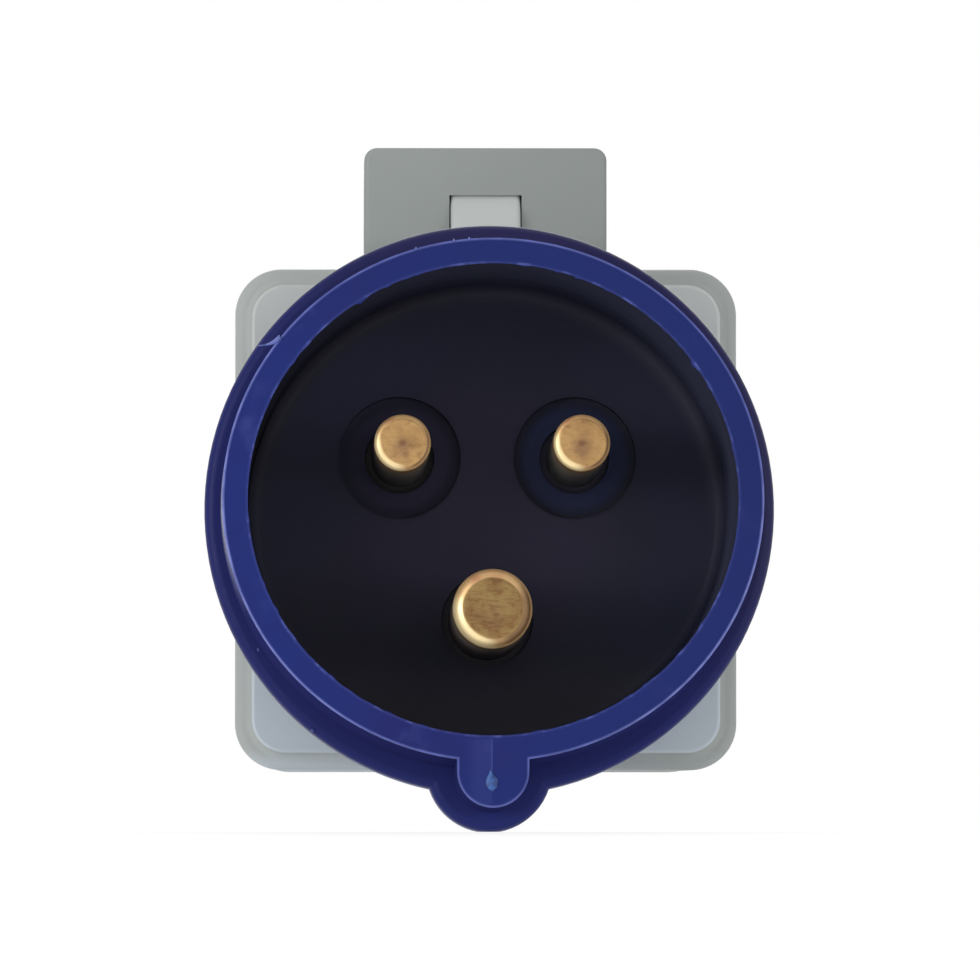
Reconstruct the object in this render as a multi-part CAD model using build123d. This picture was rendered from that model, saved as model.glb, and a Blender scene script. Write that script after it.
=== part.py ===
from build123d import *
from math import cos, sin, radians
import os

# Adapter from a 16 A 2P+E industrial plug to an earthed 16 A domestic socket with a spring lid.
# Millimetres. The origin is the centre of the plug's mouth. +Y runs back along the plug's axis
# to the lid, +Z points up to the hinge, and +X is to the right when one looks into the plug.

# Plug shroud
MOUTH_WIDTH = 47.4          # outside, across
MOUTH_HEIGHT = 45.8         # outside, up and down: the mouth is slightly oval
SHROUD_WALL = 2.2
SHROUD_DRAFT = 0.5          # growth of the outside radius from the mouth to the collar
MOUTH_EDGE = 0.25
PLUG_DEPTH = 36.0           # from the mouth to the face of the pin carrier
SHROUD_BACK = 2.2           # thickness of the back wall
COLLAR_REACH = 1.7          # past the mouth's outside, across
COLLAR_START = 22.5         # from the mouth
COLLAR_THICKNESS = 6.0
COLLAR_EDGE = 0.9
NOSE_R = 3.15               # key nose at six o'clock
NOSE_OUT = 0.9              # from the mouth's edge to the centre of the nose's round
NOSE_ROOT_R = 5.6           # the same nose where it meets the collar
NOSE_ROOT_OUT = 0.2

# Pin carrier
CARRIER_FIT = 0.15
CARRIER_RIM = 3.0           # thickness of the disc that sits in the shroud
CARRIER_BOSS_INSET = 2.4    # from the circle of the plug screws
CARRIER_BOSS = 4.5          # length of the boss behind the disc
RECESS_D = 11.0             # round recess about each thin pin
RECESS_DEPTH = 1.6

# Plug pins
PIN_CIRCLE_R = 9.45
PIN_RISE = 33.5             # degrees of the two thin pins above the horizontal
PIN_D = 5.0
PIN_SETBACK = 6.0           # from the mouth to the tip of a thin pin
EARTH_PIN_D = 7.0
EARTH_PIN_SETBACK = 3.0
PIN_TIP_FLAT = 0.78         # share of the diameter that is left flat at the tip
EARTH_TIP_FLAT = 0.70
PIN_HOLE_FIT = 0.03
PIN_ROOT = 0.6              # the root in the carrier is this much larger in radius
HALO_DEPTH = 1.5            # open ring about the shank, in front of the root
TAIL_D = 3.0
TAIL_OVER = 0.8             # tail past its nut
NUT_ACROSS = 5.5
NUT_THICKNESS = 2.4
LINK_THICKNESS = 0.8
LINK_EYE_R = 3.2
LINK_DROP = 1.6             # from the earth pin's eye down to the bent run
LINK_SIDE_GAP = 0.5         # the earth run is this much narrower than the bracket, each side
NECK_EYE_WALL = 0.6

# Seals
PLUG_SEAL = 0.8
PLUG_SEAL_INSET = 0.5       # from the shroud's bore
PLUG_SEAL_CORNER_R = 12.0
REAR_SEAL = 0.6
REAR_SEAL_INSET = 0.2

# Housing
HOUSING_SIDE = 45.5
HOUSING_DRAFT = 0.7         # the rear is this much smaller than the flange, each side
HOUSING_CORNER_R = 4.2
HOUSING_WALL = 1.3          # at the rear
HOUSING_FRONT = 3.5         # thickness behind the raised field
HOUSING_EDGE = 0.9
FIELD_INSET = 1.55          # from the housing's side to the raised square field on its front
FIELD_CORNER_R = 3.0
FIELD_HEIGHT = 1.5
FIELD_FILLET = 0.7
FIELD_EDGE = 0.3
PLUG_OPENING_FIT = 0.5      # round the carrier's boss
POST_R = 3.1
POST_INSET = 3.75           # from the housing's rear side to the middle of a screw post
POST_LENGTH = 18.0
GRIP_COUNT = 6              # shallow grooves in each side
GRIP_PITCH = 3.4
GRIP_WIDTH = 1.3
GRIP_DEPTH = 0.5
GRIP_LENGTH = 26.0

# Screws
SCREW_D = 2.5
SCREW_FIT = 0.03
SCREW_CLEARANCE = 0.3
SCREW_HEAD_R = 2.3
SCREW_HEAD = 1.5
SLOT_WIDTH = 0.7
SLOT_DEPTH = 0.8
HOLE_PAST_TIP = 0.3
PLUG_SCREW_INSET = 1.1      # from the shroud's bore to the circle of the screws that hold the plug
PLUG_SCREW_BITE = 1.5       # length in the pin carrier
FACE_SCREW_LENGTH = 9.0

# Socket
FACE_PLATE = 2.5
PLATE_EDGE = 0.4
WELL_MARGIN = 2.55          # from the housing's rear side to the round well
WELL_WALL = 1.1
WELL_DEPTH = 17.5
WELL_LIP = 0.9              # ring round the well, above the face plate
WELL_LIP_WALL = 0.8
WELL_FLOOR = 3.0
CONTACT_PITCH = 19.0
ENTRY_D = 5.6
ENTRY_LEAD = 0.6
GUIDE_WIDTH = 5.0
GUIDE_REACH = 2.1
GUIDE_LENGTH = 13.0
SLEEVE_BORE_D = 4.9
SLEEVE_WALL = 0.85
SLEEVE_LENGTH = 16.2
SLEEVE_GAP = 0.8            # behind the pins' tails
SLEEVE_END = 0.6
SLEEVE_SLIT = 0.7
SLEEVE_SLIT_LENGTH = 9.0
NECK_D = 3.8
SPRING_WALL = 0.5
SPRING_LENGTH = 3.0
SPRING_BACK = 2.5           # from the mouth of the sleeve
TUBE_GAP = 0.3              # round the clamp spring
TUBE_WALL = 1.4
TUBE_LENGTH = 14.6
COVER_THICKNESS = 1.6
COVER_POST_D = 3.6
COVER_POST_GAP = 0.1
COVER_SCREW_LENGTH = 7.0

# Earth bracket
STRIP = 0.8
STRIP_WIDTH = 6.0
ARM_BACK = 0.15             # middle of each arm, outside the well's wall
CLIP_REACH = 2.3            # bump of each clip, inside the well's wall
CLIP_TOP = 14.0             # height of the arm above the well's floor
CLIP_BEND = 1.0
CLIP_FOLD_DROP = 1.5        # the next three, below the arm's top
CLIP_BUMP_DROP = 5.0
CLIP_TAIL_DROP = 9.0
CLIP_FOLD_OUT = 1.3         # the next two, behind the bump
CLIP_TAIL_OUT = 1.7
CLIP_SLOT_GAP = 0.35
CLIP_SLOT_OVER = 1.5

# Lid and hinge
LID_GAP = 0.5
LID_INSET = 0.1             # the lid is this much smaller than the housing's rear, each side
LID_THICKNESS = 6.5
LID_WALL = 2.0
LID_SKIRT = 1.4
LID_EDGE = 1.6
LID_DISH_INSET = 3.95       # from the lid's side to the round dish
LID_DISH_DEPTH = 0.7
LID_SEAL_FIT = 0.1
LID_SEAL_THICKNESS = 1.6
LID_SEAL_WIDTH = 2.3
LID_SEAL_GAP = 0.3
HINGE_BACK = 1.0            # from the hinge axis to the rear edge of the housing
HINGE_RISE = 5.65           # above the housing's rear top
HINGE_X = 0.45              # the hinge sits a little to the right
LUG_R = 5.3
LUG_WIDTH = 6.5
LUG_FRONT = 3.1
LUG_CHEEK = 1.1
LUG_EDGE = 0.5
WEB_BEHIND = 4.3            # the lug's web: its rear and top points, from the hinge axis
WEB_BELOW = 3.1
WEB_ABOVE = 2.9
HINGE_SIDE_GAP = 0.12
HINGE_ROUND_GAP = 0.25
HINGE_PIN_D = 2.4
HINGE_PIN_FIT = 0.05
HINGE_PIN_INSET = 0.3
BARREL_R = 4.0
LEVER_WIDTH = 22.6
LEVER_RISE = 8.3            # above the hinge axis
LEVER_THICKNESS = 2.6
LEVER_CORNER_R = 1.2
LEVER_EDGE = 0.5
HOOD_WALL = 0.8             # over the lug, behind the lever
NECK_BEHIND = 2.6           # of the lid's neck past the barrel
NECK_UNDERCUT = 2.4         # below the hinge axis, where the neck meets the lid's front
COIL_R = 1.95
WIRE_D = 0.6
COIL_PITCH = 0.75
COIL_TURNS = 3
LID_LEG_ANGLE = 45          # degrees round the coil where each leg leaves it
HOUSING_LEG_ANGLE = 180
LID_LEG = 6.2
HOUSING_LEG = 4.4
SPRING_SLOT = 1.1
LEG_FIT = 0.2
COIL_ROOM = 0.4

# Places along the axis, from the mouth back
CARRIER_FACE = PLUG_DEPTH
CARRIER_SEAT = CARRIER_FACE + CARRIER_RIM
THIN_ROOT = CARRIER_FACE + RECESS_DEPTH + HALO_DEPTH
EARTH_ROOT = CARRIER_FACE + HALO_DEPTH
SHROUD_END = CARRIER_SEAT + SHROUD_BACK
FIELD_FACE = SHROUD_END + PLUG_SEAL
FLANGE_FACE = FIELD_FACE + FIELD_HEIGHT
FRONT_INSIDE = FIELD_FACE + HOUSING_FRONT
BOSS_END = CARRIER_SEAT + CARRIER_BOSS
LINK_END = BOSS_END + LINK_THICKNESS
NUT_END = LINK_END + NUT_THICKNESS
TAIL_END = NUT_END + TAIL_OVER
SLEEVE_REAR = TAIL_END + SLEEVE_GAP
SLEEVE_MOUTH = SLEEVE_REAR + SLEEVE_LENGTH
SOCKET_FLOOR = SLEEVE_MOUTH + WELL_FLOOR
FACE_REAR = SOCKET_FLOOR + WELL_DEPTH - WELL_LIP
FACE_FRONT = FACE_REAR - FACE_PLATE
HOUSING_END = FACE_FRONT - REAR_SEAL
LIP_END = FACE_REAR + WELL_LIP
TUBE_END = SLEEVE_MOUTH - TUBE_LENGTH
COVER_END = TUBE_END - COVER_THICKNESS
LID_FRONT = FACE_REAR + LID_GAP
LID_REAR = LID_FRONT + LID_THICKNESS
HINGE_Y = HOUSING_END - HINGE_BACK
HINGE_Z = HOUSING_SIDE / 2 - HOUSING_DRAFT + HINGE_RISE

# Radii and half widths
MOUTH_A = MOUTH_WIDTH / 2
MOUTH_B = MOUTH_HEIGHT / 2
BORE_A = MOUTH_A - SHROUD_WALL
BORE_B = MOUTH_B - SHROUD_WALL
COLLAR_R = MOUTH_A + COLLAR_REACH
NOSE_DROP = MOUTH_B + NOSE_OUT
NOSE_ROOT_DROP = MOUTH_B + NOSE_ROOT_OUT
PLUG_SCREW_R = min(BORE_A, BORE_B) - PLUG_SCREW_INSET
CARRIER_BOSS_R = PLUG_SCREW_R - CARRIER_BOSS_INSET
HOUSING_HALF = HOUSING_SIDE / 2
REAR_SIDE = HOUSING_SIDE - 2 * HOUSING_DRAFT
REAR_HALF = REAR_SIDE / 2
ROOM_HALF = REAR_HALF - HOUSING_WALL
FIELD_SIDE = HOUSING_SIDE - 2 * FIELD_INSET
POST_OFFSET = REAR_HALF - POST_INSET
LID_SIDE = REAR_SIDE - 2 * LID_INSET
LID_ROOM_HALF = LID_SIDE / 2 - LID_SKIRT
LID_DISH_R = LID_SIDE / 2 - LID_DISH_INSET
WELL_R = REAR_HALF - WELL_MARGIN
CUP_R = WELL_R + WELL_WALL
SLEEVE_BORE_R = SLEEVE_BORE_D / 2
SLEEVE_R = SLEEVE_BORE_R + SLEEVE_WALL
CLAMP_R = SLEEVE_R + SPRING_WALL
TUBE_R = CLAMP_R + TUBE_GAP
SCREW_R = SCREW_D / 2
PLUG_OPENING_R = CARRIER_BOSS_R + PLUG_OPENING_FIT
ARM_LINE = WELL_R + ARM_BACK
CLIP_BUMP = WELL_R - CLIP_REACH
HOOD_R = LUG_R + HINGE_ROUND_GAP + HOOD_WALL

PIN_X = PIN_CIRCLE_R * cos(radians(PIN_RISE))
PIN_Z = PIN_CIRCLE_R * sin(radians(PIN_RISE))
LINE_AT = (-PIN_X, PIN_Z)
NEUTRAL_AT = (PIN_X, PIN_Z)
EARTH_AT = (0, -PIN_CIRCLE_R)
SLEEVE_LINE_AT = (-CONTACT_PITCH / 2, 0)
SLEEVE_NEUTRAL_AT = (CONTACT_PITCH / 2, 0)
PLUG_SCREW_ANGLES = (45, 135, 225, 315)
CORNERS = [(sx * POST_OFFSET, sz * POST_OFFSET) for sx in (-1, 1) for sz in (-1, 1)]


def across(y):
    """The plane across the adapter at this depth: its own x and y are the adapter's X and Z."""
    return Plane(origin=(0, y, 0), x_dir=(1, 0, 0), z_dir=(0, -1, 0))


def prism(outline, start, end):
    """The outline, drawn in X and Z, carried from one depth to another."""
    return extrude(across(end) * outline, amount=end - start)


def disc(radius, start, end, at=(0, 0)):
    return prism(Pos(*at) * Circle(radius), start, end)


def ring(inner, outer, start, end, at=(0, 0)):
    return prism(Pos(*at) * (Circle(outer) - Circle(inner)), start, end)


def turned(points, at=(0, 0)):
    """A turned piece from its half section of (radius, depth) points."""
    half = make_face(Polyline(*points, close=True))
    return Pos(at[0], 0, at[1]) * revolve(half, Axis.Y)


def side_profile(outline, start_x, end_x):
    """The outline, drawn in Y and Z, carried from one X to another."""
    return extrude(Plane.YZ.offset(start_x) * outline, amount=end_x - start_x)


def block(x, y, z):
    """A box between pairs of limits."""
    size = (x[1] - x[0], y[1] - y[0], z[1] - z[0])
    middle = (sum(x) / 2, sum(y) / 2, sum(z) / 2)
    return Pos(*middle) * Box(*size)


def capsule(start, end, width):
    """A straight stretch of strip, round at both ends."""
    ends = Pos(*start) * Circle(width / 2) + Pos(*end) * Circle(width / 2)
    return make_hull(ends.edges())


def rounded_square(side, corner):
    return RectangleRounded(side, side, corner)


def edges_at(solid, y):
    """The edges that lie at one depth."""
    return solid.edges().filter_by_position(Axis.Y, y - 0.01, y + 0.01)


def plug_screw_places():
    for angle in PLUG_SCREW_ANGLES:
        yield PLUG_SCREW_R * cos(radians(angle)), PLUG_SCREW_R * sin(radians(angle))


def nose_outline(radius, drop):
    """The key nose in section: a round with straight flanks up to the tube."""
    flanks = Pos(0, -drop / 2) * Rectangle(2 * radius, drop)
    return Pos(0, -drop) * Circle(radius) + flanks


def plug_shroud():
    """Blue shroud: drafted oval tube, collar, key nose, and a back wall that holds the carrier."""
    mouth = across(0) * Ellipse(MOUTH_A, MOUTH_B)
    root = across(SHROUD_END) * Ellipse(MOUTH_A + SHROUD_DRAFT, MOUTH_B + SHROUD_DRAFT)
    tube = loft([mouth, root], ruled=True)
    tube = tube + prism(nose_outline(NOSE_R, NOSE_DROP), 0, SHROUD_END)
    tube = chamfer(edges_at(tube, 0), MOUTH_EDGE)

    collar_end = COLLAR_START + COLLAR_THICKNESS
    outline = Circle(COLLAR_R) + nose_outline(NOSE_ROOT_R, NOSE_ROOT_DROP)
    collar = prism(outline, COLLAR_START, collar_end)
    collar = fillet(edges_at(collar, COLLAR_START) + edges_at(collar, collar_end), COLLAR_EDGE)

    shroud = tube + collar
    shroud -= prism(Ellipse(BORE_A, BORE_B), 0, CARRIER_SEAT)
    shroud -= disc(CARRIER_BOSS_R + CARRIER_FIT, CARRIER_SEAT, SHROUD_END)
    for at in plug_screw_places():
        shroud -= disc(SCREW_R + SCREW_CLEARANCE, CARRIER_SEAT, SHROUD_END, at)
    return shroud


def pin_carrier():
    """Disc and boss with the pin holes, and the round recess about each thin pin."""
    rim = prism(Ellipse(BORE_A - CARRIER_FIT, BORE_B - CARRIER_FIT), CARRIER_FACE, CARRIER_SEAT)
    carrier = rim + disc(CARRIER_BOSS_R, CARRIER_SEAT, BOSS_END)
    for at in (LINE_AT, NEUTRAL_AT):
        recess_end = CARRIER_FACE + RECESS_DEPTH
        carrier -= disc(RECESS_D / 2, CARRIER_FACE, recess_end, at)
        carrier -= disc(PIN_D / 2 + PIN_ROOT + PIN_HOLE_FIT, recess_end, BOSS_END, at)
    carrier -= disc(EARTH_PIN_D / 2 + PIN_ROOT + PIN_HOLE_FIT, CARRIER_FACE, BOSS_END, EARTH_AT)
    for at in plug_screw_places():
        carrier -= disc(SCREW_R + SCREW_FIT, CARRIER_SEAT - PLUG_SCREW_BITE - HOLE_PAST_TIP, CARRIER_SEAT, at)
    return carrier


def contact_pin(diameter, setback, flat_share, root_start, at):
    """Turned pin: crowned tip, shank, thicker root, and a thin tail for the strap and its nut."""
    radius = diameter / 2
    flat = radius * flat_share
    crown = radius - flat
    root = radius + PIN_ROOT
    tail = TAIL_D / 2
    bow = (flat + crown * sin(radians(45)), setback + crown - crown * cos(radians(45)))
    half = Polyline(
        (radius, setback + crown), (radius, root_start), (root, root_start), (root, BOSS_END),
        (tail, BOSS_END), (tail, TAIL_END), (0, TAIL_END), (0, setback), (flat, setback),
    )
    edge = half + ThreePointArc((flat, setback), bow, (radius, setback + crown))
    return Pos(at[0], 0, at[1]) * revolve(make_face(edge), Axis.Y)


def pin_nuts():
    nuts = []
    for at in (LINE_AT, NEUTRAL_AT, EARTH_AT):
        corner_r = NUT_ACROSS / 2 / cos(radians(30))
        outline = RegularPolygon(corner_r, 6) - Circle(TAIL_D / 2 + PIN_HOLE_FIT)
        nuts.append(prism(Pos(*at) * outline, LINK_END, NUT_END))
    return Compound(nuts)


def side_link(pin_at, sleeve_at):
    """Flat strap between a thin pin's tail and the neck of its sleeve."""
    neck_eye = NECK_D / 2 + NECK_EYE_WALL
    outline = make_hull((Pos(*pin_at) * Circle(LINK_EYE_R) + Pos(*sleeve_at) * Circle(neck_eye)).edges())
    outline -= Pos(*pin_at) * Circle(TAIL_D / 2 + PIN_HOLE_FIT)
    return prism(outline, BOSS_END, LINK_END)


def earth_link():
    """Bent strap from the earth pin's tail back to the earth bracket."""
    drop = EARTH_AT[1] - LINK_EYE_R - LINK_DROP
    half = STRIP_WIDTH / 2 - LINK_SIDE_GAP
    eye = Pos(*EARTH_AT) * Circle(LINK_EYE_R)
    foot = Pos(0, (EARTH_AT[1] + drop) / 2) * Rectangle(2 * half, EARTH_AT[1] - drop)
    flat = prism(eye + foot - Pos(*EARTH_AT) * Circle(TAIL_D / 2 + PIN_HOLE_FIT), BOSS_END, LINK_END)
    run = block((-half, half), (BOSS_END, SLEEVE_MOUTH - STRIP), (drop, drop + LINK_THICKNESS))
    return flat + run


def plug_gasket():
    side = 2 * (min(BORE_A, BORE_B) - PLUG_SEAL_INSET)
    outline = rounded_square(side, PLUG_SEAL_CORNER_R) - Circle(PLUG_OPENING_R)
    for at in plug_screw_places():
        outline -= Pos(*at) * Circle(SCREW_R + SCREW_CLEARANCE)
    return prism(outline, SHROUD_END, FIELD_FACE)


def screw(tip, seat, head_end, at):
    """Pan head screw along the axis: the tip's depth, the head's seat and its outer end."""
    way = 1 if head_end > seat else -1
    shank = disc(SCREW_R, min(tip, seat), max(tip, seat), at)
    head = disc(SCREW_HEAD_R, min(seat, head_end), max(seat, head_end), at)
    head = fillet(edges_at(head, head_end), SCREW_HEAD / 3)
    slot_start, slot_end = sorted((head_end, head_end - way * SLOT_DEPTH))
    slot = prism(Pos(*at) * Rectangle(3 * SCREW_HEAD_R, SLOT_WIDTH), slot_start, slot_end)
    return shank + head - slot


def plug_screws():
    tip = CARRIER_SEAT - PLUG_SCREW_BITE
    return Compound([screw(tip, FRONT_INSIDE, FRONT_INSIDE + SCREW_HEAD, at) for at in plug_screw_places()])


def face_screws():
    seat = FACE_REAR - SCREW_HEAD
    return Compound([screw(seat - FACE_SCREW_LENGTH, seat, FACE_REAR, at) for at in CORNERS])


def hinge_lug():
    """The housing's half of the hinge: a round lug on a web, open behind for the spring."""
    web = Polyline(
        (HINGE_Y - LUG_FRONT, REAR_HALF - HOUSING_WALL / 2),
        (HOUSING_END, REAR_HALF - HOUSING_WALL / 2),
        (HOUSING_END, REAR_HALF),
        (HINGE_Y + WEB_BEHIND, HINGE_Z - WEB_BELOW),
        (HINGE_Y, HINGE_Z + WEB_ABOVE),
        (HINGE_Y - LUG_FRONT, HINGE_Z),
        close=True,
    )
    barrel = side_profile(Pos(HINGE_Y, HINGE_Z) * Circle(LUG_R), -LUG_WIDTH / 2, LUG_WIDTH / 2)
    barrel = fillet(barrel.edges().filter_by(GeomType.CIRCLE), LUG_EDGE)
    lug = barrel + side_profile(make_face(web), -LUG_WIDTH / 2, LUG_WIDTH / 2)
    room = LUG_WIDTH / 2 - LUG_CHEEK
    pocket = Pos(HINGE_Y, HINGE_Z) * Circle(COIL_R + WIRE_D + COIL_ROOM)
    way_out = Pos(HINGE_Y + LUG_R, HINGE_Z - LUG_R) * Rectangle(2 * LUG_R, 4 * LUG_R)
    leg_slot = Rectangle(SPRING_SLOT, HOUSING_LEG + LEG_FIT)
    leg_slot = Pos(HINGE_Y - COIL_R, HINGE_Z - HOUSING_LEG / 2) * leg_slot
    lug -= side_profile(pocket + way_out + leg_slot, -room, room)
    return at_hinge(lug - hinge_hole(HINGE_PIN_D / 2))


def at_hinge(piece):
    """The piece, moved from the middle to where the hinge sits."""
    return Pos(HINGE_X, 0, 0) * piece


def hinge_hole(radius):
    hole = Pos(HINGE_Y, HINGE_Z) * Circle(radius)
    return side_profile(hole, -LEVER_WIDTH, LEVER_WIDTH)


def housing_shell():
    """Square housing, open behind, with the raised front field, screw posts and the hinge lug."""
    flange = across(FLANGE_FACE) * rounded_square(HOUSING_SIDE, HOUSING_CORNER_R)
    rear = across(HOUSING_END) * rounded_square(REAR_SIDE, HOUSING_CORNER_R)
    shell = loft([flange, rear], ruled=True)
    shell = fillet(edges_at(shell, FLANGE_FACE), HOUSING_EDGE)
    shell += prism(rounded_square(FIELD_SIDE, FIELD_CORNER_R), FIELD_FACE, FRONT_INSIDE)
    shell = fillet(field_root(shell), FIELD_FILLET)
    shell = fillet(edges_at(shell, FIELD_FACE), FIELD_EDGE)
    room = rounded_square(2 * ROOM_HALF, HOUSING_CORNER_R - HOUSING_WALL)
    posts = Sketch() + [Pos(*at) * Circle(POST_R) for at in CORNERS]
    inside = prism(room, FRONT_INSIDE, HOUSING_END)
    kept = prism(posts & room, HOUSING_END - POST_LENGTH, HOUSING_END)
    shell -= inside - kept
    shell -= disc(PLUG_OPENING_R, FIELD_FACE, FRONT_INSIDE)
    for at in plug_screw_places():
        shell -= disc(SCREW_R + SCREW_CLEARANCE, FIELD_FACE, FRONT_INSIDE, at)
    screw_tip = FACE_REAR - SCREW_HEAD - FACE_SCREW_LENGTH
    for at in CORNERS:
        shell -= disc(SCREW_R + SCREW_FIT, screw_tip - HOLE_PAST_TIP, HOUSING_END, at)
    return shell - grips() + hinge_lug()


def half_at(y):
    """Half the housing's drafted width at this depth."""
    return HOUSING_HALF - HOUSING_DRAFT * (y - FLANGE_FACE) / (HOUSING_END - FLANGE_FACE)


def grips():
    """Shallow grooves down both sides, for the fingers."""
    middle = (FLANGE_FACE + HOUSING_END) / 2
    reach = GRIP_LENGTH / 2
    cuts = []
    for number in range(GRIP_COUNT):
        y = middle + (number - (GRIP_COUNT - 1) / 2) * GRIP_PITCH
        groove = capsule((y, -reach), (y, reach), GRIP_WIDTH)
        low, high = half_at(y) - GRIP_DEPTH, half_at(y) + GRIP_DEPTH
        cuts.append(side_profile(groove, low, high))
        cuts.append(side_profile(groove, -high, -low))
    return cuts


def field_root(shell):
    """The edges where the raised field meets the flange."""
    inner = FIELD_SIDE / 2 + FIELD_INSET / 2
    found = ShapeList()
    for edge in edges_at(shell, FLANGE_FACE):
        middle = edge.center()
        if abs(middle.X) < inner and abs(middle.Z) < inner:
            found.append(edge)
    return found


def rear_gasket():
    outer = rounded_square(REAR_SIDE - 2 * REAR_SEAL_INSET, HOUSING_CORNER_R - REAR_SEAL_INSET)
    inner = rounded_square(2 * ROOM_HALF, HOUSING_CORNER_R - HOUSING_WALL)
    for at in CORNERS:
        inner -= Pos(*at) * Circle(POST_R)
        outer -= Pos(*at) * Circle(SCREW_R + SCREW_CLEARANCE)
    return prism(outer - inner, HOUSING_END, FACE_FRONT)


def socket_body():
    """Face plate and round well, with guide ribs, clip slots, entries and sleeve tubes."""
    plate = prism(rounded_square(REAR_SIDE, HOUSING_CORNER_R), FACE_FRONT, FACE_REAR)
    plate = fillet(edges_at(plate, FACE_REAR), PLATE_EDGE)
    body = plate + disc(CUP_R, SLEEVE_MOUTH, FACE_REAR)
    body += disc(WELL_R + WELL_LIP_WALL, FACE_REAR, LIP_END)
    body -= disc(WELL_R, SOCKET_FLOOR, LIP_END)
    body += guide_ribs()
    for at in (SLEEVE_LINE_AT, SLEEVE_NEUTRAL_AT):
        body += ring(TUBE_R, TUBE_R + TUBE_WALL, TUBE_END, SLEEVE_MOUTH, at)
        body -= entry(at)
    post = ring(SCREW_R + SCREW_FIT, COVER_POST_D / 2, TUBE_END, SLEEVE_MOUTH)
    body += post
    for side in (-1, 1):
        body -= clip_slot(side)
    for at in CORNERS:
        body -= disc(SCREW_R + SCREW_CLEARANCE, FACE_FRONT, FACE_REAR, at)
        body -= disc(SCREW_HEAD_R + SCREW_CLEARANCE, FACE_REAR - SCREW_HEAD, FACE_REAR, at)
    return body


def guide_ribs():
    ribs = []
    for side in (-1, 1):
        middle = side * (WELL_R - GUIDE_REACH / 2 + WELL_WALL / 4)
        outline = Pos(middle, 0) * Rectangle(GUIDE_REACH + WELL_WALL / 2, GUIDE_WIDTH)
        ribs.append(prism(outline, SOCKET_FLOOR, SOCKET_FLOOR + GUIDE_LENGTH))
    return ribs


def entry(at):
    """Hole for a plug's contact, with a lead-in at the floor."""
    radius = ENTRY_D / 2
    half = (
        (0, SLEEVE_MOUTH), (radius, SLEEVE_MOUTH), (radius, SOCKET_FLOOR - ENTRY_LEAD),
        (radius + ENTRY_LEAD, SOCKET_FLOOR), (0, SOCKET_FLOOR),
    )
    return turned(half, at)


def clip_slot(side):
    """Slot for one arm of the earth bracket, through the floor and up the wall of the well."""
    half = STRIP_WIDTH / 2 + CLIP_SLOT_GAP
    low = ARM_LINE - STRIP / 2 - CLIP_SLOT_GAP
    high = CUP_R + WELL_WALL
    limits = sorted((side * low, side * high))
    return block((-half, half), (SLEEVE_MOUTH, SOCKET_FLOOR + CLIP_TOP + CLIP_SLOT_OVER), limits)


def contact_sleeve(at):
    """Slotted sleeve with a closed end and a neck that stands on its strap."""
    neck = NECK_D / 2
    closed = SLEEVE_REAR + SLEEVE_END
    half = (
        (0, LINK_END), (neck, LINK_END), (neck, SLEEVE_REAR), (SLEEVE_R, SLEEVE_REAR),
        (SLEEVE_R, SLEEVE_MOUTH), (SLEEVE_BORE_R, SLEEVE_MOUTH), (SLEEVE_BORE_R, closed), (0, closed),
    )
    sleeve = turned(half, at)
    slit = Rectangle(SLEEVE_SLIT, 3 * SLEEVE_R)
    return sleeve - prism(Pos(*at) * slit, SLEEVE_MOUTH - SLEEVE_SLIT_LENGTH, SLEEVE_MOUTH)


def sleeve_springs():
    end = SLEEVE_MOUTH - SPRING_BACK
    springs = []
    for at in (SLEEVE_LINE_AT, SLEEVE_NEUTRAL_AT):
        clamp = ring(SLEEVE_R, CLAMP_R, end - SPRING_LENGTH, end, at)
        gap = Pos(at[0], at[1] + CLAMP_R) * Rectangle(SLEEVE_SLIT * 2, CLAMP_R)
        springs.append(clamp - prism(gap, end - SPRING_LENGTH, end))
    return Compound(springs)


def contact_cover():
    """Insulating plate over the ends of the sleeve tubes."""
    outline = SlotOverall(CONTACT_PITCH + 2 * (TUBE_R + TUBE_WALL), 2 * (TUBE_R + TUBE_WALL))
    for at in (SLEEVE_LINE_AT, SLEEVE_NEUTRAL_AT):
        outline -= Pos(*at) * Circle(SLEEVE_R + TUBE_GAP)
    outline -= Circle(SCREW_R + SCREW_CLEARANCE)
    return prism(outline, COVER_END, TUBE_END)


def cover_screw():
    return screw(COVER_END + COVER_SCREW_LENGTH, COVER_END, COVER_END - SCREW_HEAD, (0, 0))


def earth_bracket():
    """Bent strip: a back across the socket and two arms that end in sprung clips."""
    back = SLEEVE_MOUTH - STRIP / 2
    top = SOCKET_FLOOR + CLIP_TOP
    arm = (
        (back, ARM_LINE), (top, ARM_LINE), (top + CLIP_BEND, ARM_LINE - CLIP_BEND),
        (top - CLIP_FOLD_DROP, CLIP_BUMP + CLIP_FOLD_OUT), (top - CLIP_BUMP_DROP, CLIP_BUMP + STRIP / 2),
        (top - CLIP_TAIL_DROP, CLIP_BUMP + CLIP_TAIL_OUT),
    )
    way = [(y, -z) for y, z in reversed(arm)] + list(arm)
    outline = Sketch() + [capsule(start, end, STRIP) for start, end in zip(way, way[1:])]
    strip = side_profile(outline, -STRIP_WIDTH / 2, STRIP_WIDTH / 2)
    return strip - disc(COVER_POST_D / 2 + COVER_POST_GAP, back - STRIP, back + STRIP)


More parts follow.
